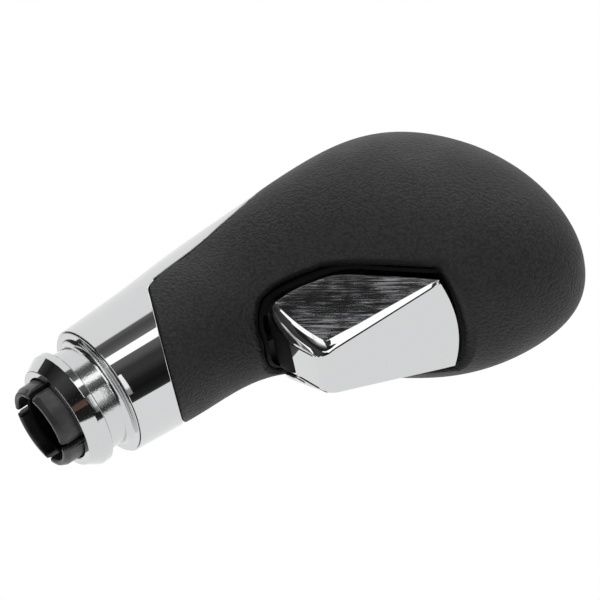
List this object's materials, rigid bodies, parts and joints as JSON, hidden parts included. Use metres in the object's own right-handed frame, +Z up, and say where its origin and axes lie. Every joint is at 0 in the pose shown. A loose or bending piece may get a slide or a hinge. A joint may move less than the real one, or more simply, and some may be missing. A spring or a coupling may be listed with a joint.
{
  "type": "gear shift knob",
  "caption": "Leather-covered pistol-grip gear shift knob with a chrome collar, a gaiter groove, a slotted locking collet and a chrome trigger that pushes an inner plunger.",
  "frame": {"origin": "centre of the mouth of the bore that the gear lever goes into", "axes": "+Z up along the lever's axis, +X towards the trigger"},
  "size_m": [0.0657, 0.0466, 0.106],
  "materials": {
    "leather": "fine pebble grain",
    "chrome": "polished",
    "core": "moulded",
    "black_nylon": "moulded, slightly glossy",
    "white_nylon": "moulded",
    "bezel": "fine matte",
    "steel": "bright zinc plated",
    "rubber": "moulded"
  },
  "bodies": {
    "grip": {"leather_cover": "leather", "core_left": "core", "core_right": "core", "core_screws": "steel", "chrome_collar": "chrome", "neck_sleeve": "chrome", "clip_collet": "black_nylon", "grip_ring": "steel", "lever_socket": "core", "plunger_guide": "black_nylon", "plunger_spring": "steel", "rocker_pin": "steel", "trigger_bezel": "bezel", "trigger_pin": "steel", "trigger_spring": "steel", "stop_bumpers": "rubber"},
    "trigger": {"trigger_cap": "chrome", "trigger_carrier": "black_nylon"},
    "rocker": {"rocker": "black_nylon"},
    "plunger": {"plunger": "steel", "plunger_tip": "white_nylon"}
  },
  "joints": [
    {"name": "trigger_hinge", "type": "hinge", "parent": "grip", "child": "trigger", "pos_m": [0.027, 0, 0.0665], "axis": [0, 1, 0], "range_deg": [0, 10], "stiffness_Nm_per_rad": 0.3, "springref_deg": -5.73},
    {"name": "rocker_pivot", "type": "hinge", "parent": "grip", "child": "rocker", "pos_m": [0.0084, 0, 0.0485], "axis": [0, 1, 0], "range_deg": [-25, 0]},
    {"name": "plunger_slide", "type": "slide", "parent": "grip", "child": "plunger", "axis": [0, 0, -1], "range_m": [0, 0.0032], "stiffness_N_per_m": 20, "springref_m": -0.0012, "deforming": ["plunger_spring"]}
  ],
  "couplings": [
    {"joint": "rocker_pivot", "follows": "trigger_hinge", "ratio": -2.5},
    {"joint": "plunger_slide", "follows": "trigger_hinge", "m_per_rad": 0.01833}
  ]
}
